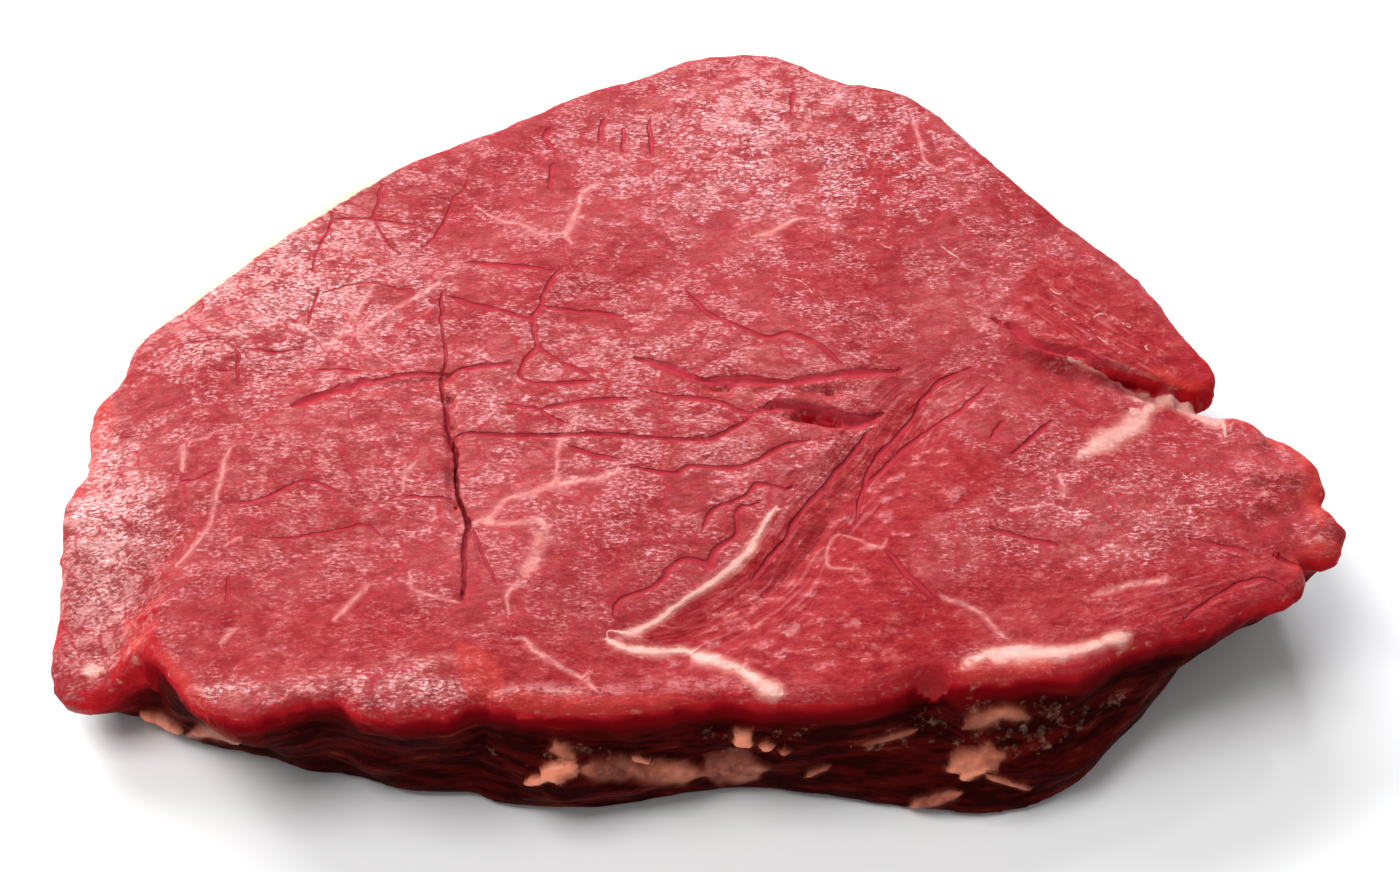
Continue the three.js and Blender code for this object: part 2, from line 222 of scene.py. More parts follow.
# Where light shines through the lip and turns it orange: full width in mm, and the path
LIPS = [
    (2.4, [(128, 622), (142, 646), (162, 664), (186, 692), (206, 710)]),
    (3.6, [(462, 646), (478, 666), (484, 684), (482, 700)]),
    (2.4, [(500, 700), (560, 706), (640, 704), (700, 702)]),
    (2.4, [(952, 668), (975, 672), (1010, 668), (1050, 664)]),
    (2.0, [(1235, 418), (1275, 436), (1306, 462), (1316, 500), (1322, 528)]),
    (2.4, [(1290, 566), (1322, 556), (1340, 548)]),
    (2.2, [(1150, 372), (1180, 386), (1212, 394)]),
    (2.0, [(108, 400), (98, 440), (92, 470), (76, 500)]),
]
# Fat and torn membrane on the front wall: full width in mm, how pale it is (partly its own colour,
# partly painted light where a lump catches the light), and the path
WALL_FAT = [
    (3.2, 0.45, [(556, 742), (562, 752), (574, 760)]),
    (3.4, 1.3, [(546, 777), (560, 770), (576, 765)]),
    (1.4, 0.9, [(528, 778), (546, 779)]),
    (4.4, 0.35, [(582, 769), (620, 770), (650, 771), (700, 773)]),
    (1.3, 0.8, [(630, 757), (652, 760)]),
    (5.4, 0.2, [(705, 772), (730, 768), (764, 766)]),
    (3.6, 1.3, [(736, 740), (744, 737), (750, 740)]),
    (1.8, 0.8, [(760, 743), (773, 744)]),
    (1.6, 0.5, [(780, 749), (790, 750)]),
    (1.2, 0.2, [(806, 774), (830, 764)]),
    (1.2, 0.15, [(862, 744), (890, 738), (917, 728)]),
    (3.0, 0.15, [(962, 728), (985, 718), (1005, 712), (1028, 718)]),
    (4.6, 0.6, [(950, 768), (972, 760), (1000, 756)]),
    (2.4, 1.0, [(960, 776), (975, 770), (988, 765)]),
    (1.4, 0.4, [(988, 775), (1008, 782), (1030, 786)]),
    (2.2, 0.3, [(910, 806), (935, 800), (960, 792)]),
    (1.6, 0.8, [(141, 711), (160, 716), (184, 728)]),
    (2.4, 0.3, [(190, 732), (212, 732), (240, 740)]),
    (1.4, 0.2, [(362, 722), (372, 724)]),
]
# Soft patches of the cut face where it is drier, with denser pale flecks (partly painted sheen) and stronger
# relief and gloss: strength, middle and half sizes
DRY_SHEEN_PATCHES = [
    (1.0, (775, 155), (190, 85)), (1.0, (300, 290), (150, 110)), (1.0, (105, 550), (60, 120)),
    (0.45, (600, 420), (340, 150)), (0.8, (1110, 515), (150, 75)), (1.0, (400, 688), (75, 24)),
    (0.4, (1030, 250), (90, 70)), (1.0, (260, 692), (90, 12)), (0.8, (560, 696), (110, 8)),
    (0.6, (720, 690), (90, 8)),
]
# Patches painted pale: painted sheen where the lights reflect, partly also paler, drier flesh: strength,
# middle and half sizes
PALE_SHEEN_PATCHES = [
    (1.0, (100, 550), (44, 110)), (0.6, (265, 270), (120, 90)), (0.4, (760, 110), (90, 45)),
    (0.9, (222, 690), (24, 8)), (0.8, (300, 688), (28, 6)), (0.7, (420, 688), (46, 12)),
    (0.7, (425, 662), (34, 6)), (0.7, (560, 690), (80, 5)), (0.15, (620, 400), (200, 90)),
    (0.2, (300, 480), (120, 80)), (0.2, (1110, 540), (60, 24)), (0.5, (700, 684), (80, 4)),
]
# Smooth, wet muscle: strength, width of the soft border in pixels, and the outline
WET_REGIONS = [
    (1.0, 10, [(880, 420), (858, 450), (820, 490), (782, 520), (757, 545), (716, 586), (655, 624),
        (640, 640), (700, 655), (780, 690), (860, 690), (930, 660), (985, 640), (960, 605), (925, 585),
        (905, 555), (925, 520), (985, 500), (1000, 470), (960, 440), (930, 405), (960, 375), (940, 370),
        (905, 395)]),
    (0.75, 14, [(512, 625), (560, 640), (612, 640), (700, 660), (770, 690), (720, 705), (600, 705),
        (500, 695), (480, 650)]),
    (0.5, 30, [(150, 640), (180, 590), (300, 600), (440, 620), (470, 650), (300, 675), (200, 680)]),
    (0.95, 16, [(1005, 300), (1040, 256), (1095, 262), (1160, 318), (1215, 372), (1215, 392), (1130, 372),
        (1060, 345)]),
    (0.7, 22, [(930, 600), (990, 560), (1090, 570), (1200, 560), (1260, 545), (1310, 540), (1290, 585),
        (1180, 640), (1060, 650), (990, 650)]),
    (0.6, 12, [(775, 235), (800, 225), (835, 240), (830, 262), (790, 255)]),
    (0.6, 12, [(790, 275), (850, 268), (885, 280), (870, 298), (810, 300)]),
]
# Paths that the fibres run along: how far they reach to each side in mm, and the path
FIBRE_GUIDES = [
    (11, [(960, 372), (905, 405), (870, 455), (825, 505), (790, 545), (762, 585), (700, 625), (655, 640)]),
    (6, [(1040, 290), (1080, 318), (1120, 345), (1165, 372)]),
    (5, [(1100, 625), (1160, 605), (1220, 588), (1270, 575)]),
]

# All that is cut into the face: full width, depth, darkness (painted shade inside) and path
CRACKS = (list(DEEP_CRACKS.values())
          + [(0.7, 0.22, 0.0, path) for path in MEDIUM_CRACKS]
          + [(0.4, 0.12, 0.0, path) for path in THIN_CRACKS])
LIT_WIDTH = 0.28          # mm
# How far past its edge each kind of mark is still felt, in mm
MARK_HOLD = {"crack": 0.6, "vein": 0.8, "seam": 1.2, "lit": 0.4, "wall_fat": 1.2, "lip": 2.0}

# Strokes
BLUNT = 0.12              # of a path: the share at each end over which it narrows
PATH_SPACING = 4          # pixels
WANDER = 5                # pixels
FAR = 99.0                # mm, where no path is near


def to_photo(points):
    """Pixels of the photograph at which points in the frame, in metres, show."""
    from_eye = points - EYE
    depth = from_eye @ VIEW_ALONG
    across = PHOTO_SIZE[0] / 2 + FOCAL_PIXELS * from_eye[:, 0] / depth
    down = PHOTO_SIZE[1] / 2 - FOCAL_PIXELS * (from_eye @ VIEW_UP) / depth
    return np.column_stack([across, down])


def at_height(points, level):
    """The points moved straight up or down to the heights in level."""
    return np.column_stack([points[:, :2], level])


def smooth_step(value, low, high):
    share = np.clip((value - low) / (high - low), 0.0, 1.0)
    return share * share * (3 - 2 * share)


def lattice_noise(points, seed):
    """Smooth noise from -1 to 1 over points whose unit is the noise's own cell."""
    cell = np.floor(points).astype(np.int64)
    part = points - cell
    ease = part * part * (3 - 2 * part)
    total = np.zeros(len(points))
    for corner in range(8):
        step = np.array([corner & 1, corner >> 1 & 1, corner >> 2 & 1])
        at = (cell + step + seed * 31) & 0xFFFF
        mixed = at[:, 0] * 73856093 ^ at[:, 1] * 19349663 ^ at[:, 2] * 83492791
        mixed = (mixed ^ (mixed >> 13)) * 1274126177 & 0x7FFFFFFF
        value = (mixed >> 7 & 0xFFFF) / 32767.5 - 1
        total += value * np.prod(np.where(step, ease, 1 - ease), axis=1)
    return total


def noise(points, size, seed, octaves=2):
    """Layered noise whose coarsest lumps are as large as size: one length, or one for each axis."""
    total = np.zeros(len(points))
    for octave in range(octaves):
        total += lattice_noise(points / np.array(size) * 2**octave, seed + octave) / 2**octave
    return total


def linked(name, data):
    made = bpy.data.objects.new(name, data)
    bpy.context.scene.collection.objects.link(made)
    return made


def rows(collection, name, width, kind):
    """One property of all the vertices or edges of a mesh."""
    flat = np.empty(len(collection) * width, kind)
    collection.foreach_get(name, flat)
    return flat.reshape(-1, width)


def coordinates(mesh):
    return rows(mesh.vertices, "co", 3, np.float32).astype(float)


def set_coordinates(mesh, points):
    mesh.vertices.foreach_set("co", points.astype(np.float32).ravel())
    mesh.update()


def vertex_normals(mesh):
    return rows(mesh.vertices, "normal", 3, np.float32).astype(float)


def edge_ends(mesh):
    return rows(mesh.edges, "vertices", 2, np.int32)


def relax(values, ends, rounds):
    """Evens values out along the edges. A second, opposite step keeps the form from shrinking."""
    count = np.bincount(ends.ravel(), minlength=len(values))[:, None]
    for step in [RELAX_STEP, -RELAX_STEP - RELAX_EXTRA] * rounds:
        total = np.zeros_like(values)
        for axis in range(values.shape[1]):
            total[:, axis] = np.bincount(ends[:, 0], values[ends[:, 1], axis], len(values))
            total[:, axis] += np.bincount(ends[:, 1], values[ends[:, 0], axis], len(values))
        values = values + step * (total / np.maximum(count, 1) - values)
    return values


# The cut face as a map of heights

def spread(grid, reach, pick):
    """The largest or smallest height within reach cells of each cell."""
    for axis in (0, 1):
        near = [np.roll(grid, shift, axis) for shift in range(-reach, reach + 1)]
        grid = pick(near, axis=0)
    return grid


class FaceMap:
    """Heights of the cut face with its narrow cracks filled, and the distance in from the rim."""

    def __init__(self, points):
        self.low = points[:, :2].min(0) - MAP_EDGE
        size = np.ceil((points[:, :2].max(0) + MAP_EDGE - self.low) / GRID).astype(int)
        heights = np.zeros(size)
        cells = ((points[:, :2] - self.low) / GRID).astype(int)
        np.maximum.at(heights, (cells[:, 0], cells[:, 1]), points[:, 2])
        inside = heights > 0
        closed = spread(spread(heights, FILL_REACH, np.max), FILL_REACH, np.min)
        self.filled = np.where(inside, np.maximum(closed, heights), 0)
        around = spread(self.filled, WALL_REACH, np.max)
        x, y = (self.low[axis] + np.arange(size[axis]) * GRID for axis in (0, 1))
        on_flap = (x[:, None] < FLAP[0]) & (y[None, :] < FLAP[1])
        lip = (spread(self.filled, LIP_REACH, np.max) - self.filled > LIP_STEEP) & (y[None, :] < FRONT_RIM)
        far_edge = SHELF[1] + SHELF[2] * (x[:, None] - SHELF[0])
        on_shelf = (x[:, None] > SHELF[0]) & (y[None, :] < far_edge) & (y[None, :] > far_edge - SHELF_DEPTH)
        walled = ((around - self.filled > STEEP) | lip) & ~on_flap & ~on_shelf
        self.raised = np.where(walled, around, self.filled)
        self.inset = np.zeros(size)
        left = inside.astype(float)
        for ring in range(INSET_RINGS):
            left = spread(left, 1, np.min)
            self.inset += left * GRID

    def read(self, grid, points):
        place = (points[:, :2] - self.low) / GRID - 0.5
        cell = np.floor(place).astype(int)
        part = place - cell
        total = np.zeros(len(points))
        for i in (0, 1):
            for j in (0, 1):
                share = np.abs(1 - i - part[:, 0]) * np.abs(1 - j - part[:, 1])
                total += share * grid[cell[:, 0] + i, cell[:, 1] + j]
        return total

    def height(self, points):
        """Height of the cut face at each point, carried on outward past the rim."""
        return self.read(self.raised, points)

    def filled_height(self, points):
        """Height of the part's top at each point, with its narrow cracks filled."""
        return self.read(self.filled, points)

    def inset_at(self, points):
        """Distance of each point from the outline, up to INSET_RINGS cells."""
        return self.read(self.inset, points)


# Distances to the paths read off the photograph

def curved(path, spacing):
    """Points at an even spacing along a smooth curve through the points of path."""
    path = np.array(path, float)
    ends = np.vstack([2 * path[0] - path[1], path, 2 * path[-1] - path[-2]])
    made = []
    for a, b, c, d in zip(ends, ends[1:], ends[2:], ends[3:]):
        steps = max(1, int(np.hypot(*(c - b)) / spacing))
        t = (np.arange(steps) / steps)[:, None]
        made.append(0.5 * (2 * b + (c - a) * t + (2 * a - 5 * b + 4 * c - d) * t**2
                           + (3 * b - a - 3 * c + d) * t**3))
    return np.vstack([*made, path[-1:]])


class Strokes:
    """Distance from each vertex to the nearest of a set of paths.

    side is the distance in units of the path's half width, negative on one side of it, so that
    a shader can draw a crisp line between vertices.
    """

    def __init__(self, points, reach):
        self.flat = to_photo(points) / SQUEEZE   # pixels, with even spacing both ways
        self.scale = pixel_scale(points)         # pixels for each millimetre
        self.reach = reach                       # mm
        self.side = np.full(len(points), 9.0)
        self.distance = np.full(len(points), FAR)
        self.strength = np.zeros(len(points))
        self.tone = np.zeros(len(points))
        self.along = np.zeros(len(points))       # mm from the start of the path

    def add(self, path, width, strength=1.0, tone=0.0, seed=0, wander=0.25, signed=True):
        line = curved(path / SQUEEZE, PATH_SPACING)
        travelled = np.linspace(0, 1, len(line))
        along = np.column_stack([np.arange(len(line)) / 3.0, np.full(len(line), seed + 0.5),
                                 np.zeros(len(line))])
        strayed = np.column_stack([noise(along, 1.0, seed), noise(along, 1.0, seed + 7)])
        line = line + wander * WANDER * strayed
        ends = np.clip(np.minimum(travelled, 1 - travelled) / BLUNT, 0.15, 1) ** 0.6
        halves = width / 2 * ends * (1 + 0.35 * noise(along, 1.5, seed + 3))
        margin = self.reach * 8
        inside = (self.flat > line.min(0) - margin) & (self.flat < line.max(0) + margin)
        chosen = np.flatnonzero(inside.all(1))
        spot = self.flat[chosen]
        best = np.full(len(chosen), 1e9)
        turn = np.ones(len(chosen))
        ended = np.zeros(len(chosen), bool)
        half = np.ones(len(chosen))
        place = np.zeros(len(chosen))
        passed = 0.0
        for i in range(len(line) - 1):
            step = line[i + 1] - line[i]
            share = np.clip((spot - line[i]) @ step / max(step @ step, 1e-9), 0, 1)
            away = spot - line[i] - share[:, None] * step
            length = np.hypot(away[:, 0], away[:, 1])
            closer = length < best
            best[closer] = length[closer]
            turn[closer] = np.sign(step[0] * away[closer, 1] - step[1] * away[closer, 0])
            past_end = (i == 0) & (share == 0) | (i == len(line) - 2) & (share == 1)
            ended[closer] = past_end[closer]
            half[closer] = (halves[i] * (1 - share) + halves[i + 1] * share)[closer]
            place[closer] = (passed + share * np.hypot(*step))[closer]
            passed += np.hypot(*step)
        best = best / self.scale[chosen]
        ratio = best / half + 1.5 * (signed & ended)
        better = (ratio < np.abs(self.side[chosen])) & (best < self.reach)
        picked = chosen[better]
        self.side[picked] = (np.where(signed & (turn < 0) & ~ended, -1, 1) * ratio)[better]
        self.distance[picked] = best[better]
        self.strength[picked] = strength
        self.tone[picked] = tone
        self.along[picked] = (place / self.scale[chosen])[better]


def pixel_scale(points):
    """Pixels for each millimetre across the view at each point."""
    depth = (points - EYE) @ VIEW_ALONG
    return FOCAL_PIXELS / depth * MM


def face_strokes(points, face, reach, paths):
    """Strokes over the cut face, from (width in mm, strength, tone, path) entries."""
    strokes = Strokes(at_height(points, face.height(points)), reach)
    for seed, (width, strength, tone, path) in enumerate(paths):
        strokes.add(path, width, strength, tone, seed, signed=width < WIDE)
    return strokes


def wall_strokes(points):
    """Strokes over the front wall, where its fat is."""
    strokes = Strokes(points, 4.0)
    for seed, (width, tone, path) in enumerate(WALL_FAT):
        strokes.add(path, width, tone=tone, seed=seed + 50, signed=False)
    return strokes


def patches(points, face, entries):
    """How far each vertex lies in soft oval patches of the cut face, from 0 to 1."""
    flat = to_photo(at_height(points, face.height(points)))
    total = np.zeros(len(points))
    for strength, middle, half_size in entries:
        away = (flat - np.array(middle)) / np.array(half_size)
        total = np.maximum(total, strength * np.exp(-(away**2).sum(1)))
    return total


def regions(points, face, entries):
    """How far each vertex lies inside the outlined regions of the cut face, from 0 to 1."""
    flat = to_photo(at_height(points, face.height(points)))
    total = np.zeros(len(points))
    for strength, border, outline in entries:
        corners = np.array(outline, float)
        inside = np.zeros(len(points), bool)
        nearest = np.full(len(points), 1e9)
        for start, end in zip(corners, np.roll(corners, -1, axis=0)):
            step = end - start
            share = np.clip((flat - start) @ step / (step @ step), 0, 1)
            away = flat - start - share[:, None] * step
            nearest = np.minimum(nearest, np.hypot(away[:, 0], away[:, 1]))
            crosses = (start[1] > flat[:, 1]) != (end[1] > flat[:, 1])
            rise = np.where(crosses, (flat[:, 1] - start[1]) / (end[1] - start[1] + 1e-9), 0)
            inside ^= crosses & (flat[:, 0] < start[0] + rise * (end[0] - start[0]))
        depth = np.where(inside, nearest, -nearest)
        total = np.maximum(total, strength * smooth_step(depth, -border / 2, border / 2))
    return total


# The mesh

def remeshed(cad):
    """The solid's surface with small, even faces, smoothed of its facets."""
    piece = linked("steak_flesh", cad.data.copy())
    body = bmesh.new()
    body.from_mesh(piece.data)
    bmesh.ops.remove_doubles(body, verts=body.verts, dist=0.001 * MM)
    body.to_mesh(piece.data)
    body.free()
    modifier = piece.modifiers.new("even faces", "REMESH")
    modifier.mode = "VOXEL"
    modifier.voxel_size = VOXEL
    bake_modifiers(piece)
    return piece


def bake_modifiers(piece):
    graph = bpy.context.evaluated_depsgraph_get()
    mesh = bpy.data.meshes.new_from_object(piece.evaluated_get(graph))
    piece.modifiers.clear()
    piece.data = mesh


def rim_distance(points, normals, face):
    """Distance of each vertex from the bend between the cut face and the wall, in mm."""
    on_step = (points[:, 0] < FLAP[0]) & (points[:, 1] < FLAP[1]) & (face.inset_at(points) > 4 * MM)
    outer = (points[:, 2] > 12 * MM) & (face.inset_at(points) < 11 * MM) & ~on_step
    bend = np.flatnonzero((np.abs(normals[:, 2] - 0.55) < 0.2) & outer)
    tree = KDTree(len(bend))
    for index in bend:
        tree.insert(points[index] * (1, 1, 0), index)
    tree.balance()
    distance = np.full(len(points), RIM_REACH)
    for index in np.flatnonzero(points[:, 2] > 10 * MM):
        distance[index] = min(RIM_REACH, tree.find(points[index] * (1, 1, 0))[2] / MM)
    return distance


def fill_cracks(points, face):
    """Lifts the narrow main cracks back up to the face, so that they can be cut finely."""
    strokes = face_strokes(points, face, 6.0, CRACKS[:len(DEEP_CRACKS)])
    target = face.filled_height(points)
    inner = (strokes.distance < 5) & (face.inset_at(points) > 3.5 * MM)
    sunk = inner & (points[:, 2] < target - 0.1 * MM) & (points[:, 2] > 6 * MM)
    points[sunk, 2] = target[sunk]
    return points


def refine(piece, chosen):
    """Splits each edge whose two ends are chosen vertices."""
    body = bmesh.new()
    body.from_mesh(piece.data)
    body.verts.ensure_lookup_table()
    edges = [e for e in body.edges if chosen[e.verts[0].index] and chosen[e.verts[1].index]]
    bmesh.ops.subdivide_edges(body, edges=edges, cuts=1, use_grid_fill=True)
    body.to_mesh(piece.data)
    body.free()


def thin_underside(piece):
    points = coordinates(piece.data)
    group = piece.vertex_groups.new(name="underside")
    low = np.flatnonzero(points[:, 2] < UNDERSIDE_TOP)
    group.add(low.tolist(), 1.0, "REPLACE")
    modifier = piece.modifiers.new("fewer faces", "DECIMATE")
    share = len(low) / len(points)
    modifier.ratio = 1 - share * (1 - UNDERSIDE_SHARE)
    modifier.vertex_group = "underside"
    bake_modifiers(piece)
    piece.vertex_groups.clear()


def store(mesh, name, values):
    layer = mesh.attributes.new(name, "FLOAT", "POINT")
    layer.data.foreach_set("value", values.astype(np.float32))


def prepared(cad):
    """The solid as an even mesh with its narrow cracks filled, and the map of its cut face."""
    piece = remeshed(cad)
    points = relax(coordinates(piece.data), edge_ends(piece.data), FIRST_ROUNDS)
    face = FaceMap(points)
    points = fill_cracks(points, face)
    points = relax(points, edge_ends(piece.data), LAST_ROUNDS)
    points[:, 2] = np.maximum(points[:, 2], 0)
    set_coordinates(piece.data, points)
    thin_underside(piece)
    return piece, face


def near_cracks(points, face, distance):
    """Which vertices lie on the cut face within distance (mm) of a crack."""
    cracks = face_strokes(points, face, 2.0, CRACKS)
    upper = points[:, 2] > face.height(points) - FACE_DEPTH
    return upper & (cracks.distance < distance)


def refine_marks(piece, face):
    """Splits the faces beside cracks and under the fat of the front wall."""
    points = coordinates(piece.data)
    fat = wall_strokes(points)
    under_fat = (fat.distance < SPLIT_FAT) & (points[:, 1] < -40 * MM)
    refine(piece, near_cracks(points, face, SPLIT_ONCE) | under_fat)
    refine(piece, near_cracks(coordinates(piece.data), face, SPLIT_TWICE))


def read_marks(points, face):
    return {
        "crack": face_strokes(points, face, 3.0, CRACKS),
        "vein": face_strokes(points, face, 3.0, [(w, 1.0, min(w, 1.0), p) for w, p in VEINS]),
        "seam": face_strokes(points, face, 5.0, [(w, 1.0, solid, p) for w, solid, p in SEAMS]),
        "lit": face_strokes(points, face, 1.5, [(LIT_WIDTH, 1.0, 0.0, p) for p in LIT_EDGES]),
        "wall_fat": wall_strokes(points),
        "lip": face_strokes(points, face, 4.0, [(w, 1.0, 0.0, p) for w, p in LIPS]),
    }


def store_marks(mesh, marks, on_wall):
    for name, hold in MARK_HOLD.items():
        strokes = marks[name]
        past = strokes.distance * (1 - 1 / np.maximum(np.abs(strokes.side), 0.01))
        on_it = on_wall if name == "wall_fat" else strokes.strength > 0
        store(mesh, name + "_side", strokes.side)
        store(mesh, name + "_near", (1 - smooth_step(past, hold / 2, hold)) * on_it)
        store(mesh, name + "_tone", strokes.tone)


def store_fibres(mesh, level):
    """The run of the long fibres: mm across it and along it, and how far they show."""
    fibres = Strokes(at_height(coordinates(mesh), level), 12.0)
    for reach, path in FIBRE_GUIDES:
        fibres.add(path, 2 * reach, seed=90, wander=0)
    store(mesh, "fibre_side", fibres.distance * np.where(fibres.side < 0, -1, 1))
    store(mesh, "fibre_along", fibres.along)
    store(mesh, "fibre_near", 1 - smooth_step(np.abs(fibres.side), 0.6, 1.0))


def displaced(points, normals, level, marks, dry_sheen, on_wall):
    """The vertices moved down into cracks, and in or out by torn fibre, folds and lumps of fat."""
    cracks = marks["crack"]
    upper = smooth_step(points[:, 2], level - 6 * MM, level - FACE_DEPTH)
    slit = np.exp(-np.abs(cracks.side * 1.25) ** 2.2) * cracks.strength * upper
    shoulder = np.exp(-(cracks.distance / 1.3) ** 2) * np.minimum(cracks.strength, 1) * 0.06 * upper
    down = np.zeros_like(points)
    down[:, 2] = -(slit + shoulder) * MM

    wall = 1 - smooth_step(normals[:, 2], 0.2, 0.7)
    rough = (noise(points, 2.4 * MM, 3, 2) * (0.08 + 0.10 * dry_sheen) + noise(points, 5 * MM, 5) * 0.2
             + noise(points, 14 * MM, 6) * 0.3)
    wall_folds = noise(points, np.array([9, 9, 3.2]) * MM, 9, 3) * 0.34 * wall
    fat = marks["wall_fat"]
    lumps = np.exp(-np.abs(fat.side) ** 3) * (0.4 + fat.tone) * on_wall
    torn = noise(points, 3.6 * MM, 12, 2) * 0.5 * wall
    torn *= smooth_step(points[:, 2], level - 6 * MM, level - 2 * MM)
    ragged = noise(points, 5.5 * MM, 15, 2) * 1.1 * smooth_step(points[:, 0], 86 * MM, 96 * MM)
    lift = (rough + wall_folds + lumps + torn + ragged) * smooth_step(points[:, 2], 0, 2.5 * MM)
    points = points + down + normals * (lift * MM)[:, None]
    points[:, 2] = np.maximum(points[:, 2], 0)
    return points


def store_places(mesh, points, normals, level, face, rim):
    """Where on the steak each vertex is: on the wall, by a thin tip, in a wet or pale patch."""
    flat = to_photo(at_height(points, level))
    on_face = (level - face.filled_height(points) < 0.5 * MM) & (normals[:, 2] > -0.2)
    inner = smooth_step(face.inset_at(points), 2.5 * MM, 4 * MM) * on_face
    underneath = smooth_step(-normals[:, 2], 0.8, 0.95) * (points[:, 2] < 1.5 * MM)
    below = np.clip((level - points[:, 2]) / MM - 9 * inner, 0, 25) * (1 - underneath)
    steep = (1 - smooth_step(normals[:, 2], 0.1, 0.75)) * (1 - smooth_step(rim, 3.0, 5.0)) * (1 - inner)
    # Painted light: on the thin tips the wall is kept bright red, as light shining through them
    right_tip = smooth_step(flat[:, 0], *RIGHT_TIP_ACROSS) * smooth_step(points[:, 1], -60 * MM, -40 * MM)
    flap_tip = smooth_step(flat[:, 0], *FLAP_TIP_ACROSS) * smooth_step(-points[:, 1], 50 * MM, 60 * MM)
    flap_tip *= 0.6 * smooth_step(-normals[:, 1], 0.0, 0.4)
    thin = np.maximum(right_tip, flap_tip) * (1 - smooth_step(below, 5.0, 13.0))
    store(mesh, "rim", rim)
    store(mesh, "cap", smooth_step(flat[:, 1], *FAT_EDGE_DOWN) * smooth_step(flat[:, 0], *FAT_EDGE_ACROSS))
    store(mesh, "wet", regions(points, face, WET_REGIONS))
    store(mesh, "pale", patches(points, face, PALE_SHEEN_PATCHES))
    store(mesh, "below", below)
    store(mesh, "wall", np.maximum(steep, smooth_step(below, 1.5, 3.0)) * (1 - underneath))
    store(mesh, "front", smooth_step(-points[:, 1], 50 * MM, 62 * MM))
    store(mesh, "thin", thin)


def shape_steak(cad):
    piece, face = prepared(cad)
    refine_marks(piece, face)
    mesh = piece.data
    points = coordinates(mesh)
    normals = vertex_normals(mesh)
    level = face.height(points)
    marks = read_marks(points, face)
    store_fibres(mesh, level)
    rim = rim_distance(points, normals, face)
    dry_sheen = patches(points, face, DRY_SHEEN_PATCHES)
    store(mesh, "dry_sheen", dry_sheen)
    on_wall = smooth_step(-normals[:, 1], 0.0, 0.4) * smooth_step(level - points[:, 2], 1.5 * MM, 3 * MM)
    store_marks(mesh, marks, on_wall)

    points = displaced(points, normals, level, marks, dry_sheen, on_wall)
    set_coordinates(mesh, points)
    store_places(mesh, points, normals, level, face, rim)
    mesh.polygons.foreach_set("use_smooth", np.ones(len(mesh.polygons), bool))
    mesh.update()
    return piece


# The look

def srgb(red, green, blue):
    """A colour given as 0 to 255, as the light it stands for."""
    return tuple((v / 255 / 12.92 if v < 10.3 else ((v / 255 + 0.055) / 1.055) ** 2.4)
                 for v in (red, green, blue)) + (1.0,)


FLESH_DEEP = srgb(154, 33, 38)
FLESH_RED = srgb(152, 49, 51)
FLESH_PINK = srgb(168, 74, 75)
FLESH_SALMON = srgb(206, 92, 86)
FLECK_PINK = srgb(214, 134, 138)
GAP_RED = srgb(124, 14, 26)
CRACK_RED = srgb(166, 44, 56)
CRACK_SHADE = srgb(60, 2, 8)
MARBLE = srgb(226, 156, 142)
GRISTLE = srgb(234, 180, 170)
FAT_CREAM = srgb(234, 204, 176)
FAT_TAN = srgb(186, 134, 108)
FAT_SALMON = srgb(242, 146, 114)
FAT_BROWN = srgb(128, 56, 40)
SKIN_DARK = srgb(42, 5, 5)
SKIN_MAROON = srgb(78, 12, 11)
RIM_GLOW_RED = srgb(186, 24, 34)
EDGE_RED = srgb(128, 4, 16)
LIP_ORANGE = srgb(214, 72, 60)
SHEEN_HAZE = srgb(232, 168, 164)

# Sizes of the parts of the pattern, in mm
TINTS = 24.0
GRAIN = (3.0, 2.0, 2.6)
PLATES = (6.0, 4.2, 5.2)
MOTTLE = (3.4, 2.5, 3.2)
FIBRE_ENDS = (1.0, 0.45, 0.7)
SKIN_STREAKS = (8.0, 8.0, 1.8)


